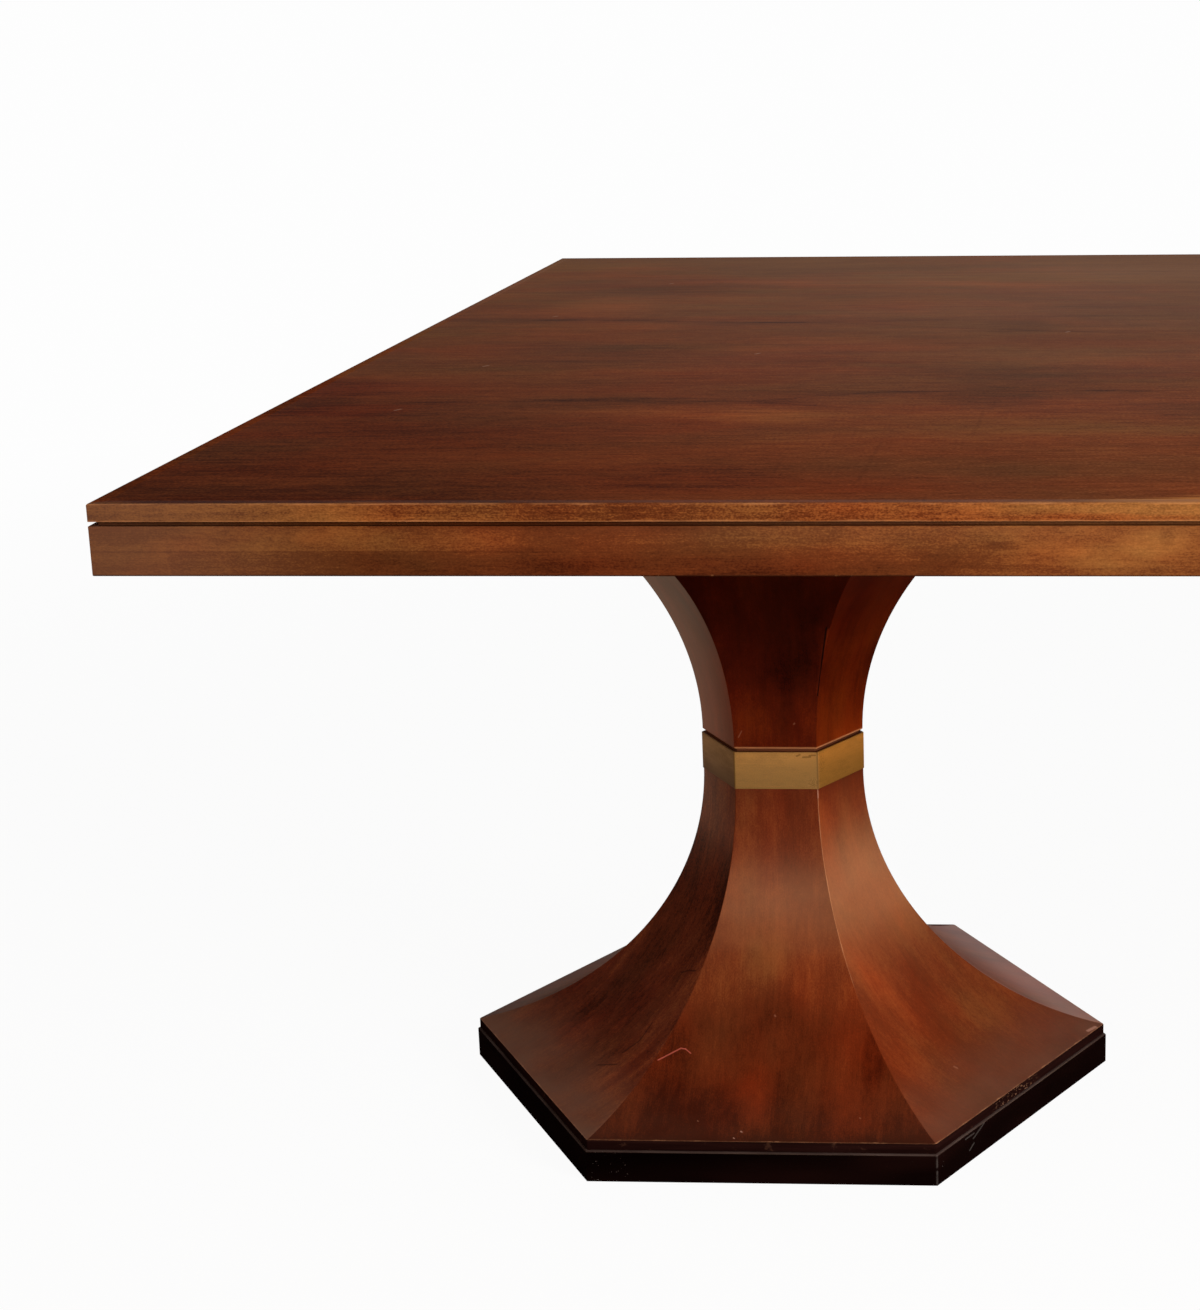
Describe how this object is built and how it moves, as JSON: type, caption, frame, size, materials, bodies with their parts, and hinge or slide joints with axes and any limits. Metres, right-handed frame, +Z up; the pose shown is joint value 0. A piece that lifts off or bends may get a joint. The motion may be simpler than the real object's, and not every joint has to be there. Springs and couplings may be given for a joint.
{
  "type": "table",
  "caption": "Rectangular veneered dining or conference table on two waisted hexagonal pedestals, each with a brass collar at the neck and a black plinth.",
  "frame": {"origin": "on the floor, under the middle of the top", "axes": "+X along the length of the top, -Y towards the front in the picture, +Z up"},
  "size_m": [2.4, 1.65, 0.75],
  "materials": {
    "veneer": "dark figured veneer, semi-gloss lacquer, lightly worn",
    "lipping": "solid edge, semi-gloss lacquer",
    "apron": "straight-grained rail, semi-gloss lacquer",
    "stave": "curved veneered stave, semi-gloss lacquer, scratched",
    "plinth": "ebonised, chipped at the corners",
    "dark_edge": "ebonised edge",
    "structure": "unfinished timber and board",
    "brass": "aged brass sheet, tarnished",
    "steel": "zinc plated"
  },
  "bodies": {
    "root": {"apron_back": "apron", "apron_front": "apron", "apron_left": "apron", "apron_right": "apron", "backing_veneer": "structure", "batten_1": "structure", "batten_2": "structure", "batten_3": "structure", "batten_4": "structure", "bearer_back": "structure", "bearer_front": "structure", "bearer_screws": "steel", "left_base_board": "dark_edge", "left_collar": "brass", "left_collar_spacer": "dark_edge", "left_head_board": "dark_edge", "left_lower_stave_1": "stave", "left_lower_stave_2": "stave", "left_lower_stave_3": "stave", "left_lower_stave_4": "stave", "left_lower_stave_5": "stave", "left_lower_stave_6": "stave", "left_plinth": "plinth", "left_post": "structure", "left_tie_rod": "steel", "left_upper_stave_1": "stave", "left_upper_stave_2": "stave", "left_upper_stave_3": "stave", "left_upper_stave_4": "stave", "left_upper_stave_5": "stave", "left_upper_stave_6": "stave", "lipping_back": "lipping", "lipping_front": "lipping", "lipping_left": "lipping", "lipping_right": "lipping", "right_base_board": "dark_edge", "right_collar": "brass", "right_collar_spacer": "dark_edge", "right_head_board": "dark_edge", "right_lower_stave_1": "stave", "right_lower_stave_2": "stave", "right_lower_stave_3": "stave", "right_lower_stave_4": "stave", "right_lower_stave_5": "stave", "right_lower_stave_6": "stave", "right_plinth": "plinth", "right_post": "structure", "right_tie_rod": "steel", "right_upper_stave_1": "stave", "right_upper_stave_2": "stave", "right_upper_stave_3": "stave", "right_upper_stave_4": "stave", "right_upper_stave_5": "stave", "right_upper_stave_6": "stave", "tie_rod_nuts": "steel", "tie_rod_washers": "steel", "top_core": "structure", "veneer_leaf_back": "veneer", "veneer_leaf_front": "veneer", "veneer_leaf_middle": "veneer"}
  },
  "joints": []
}
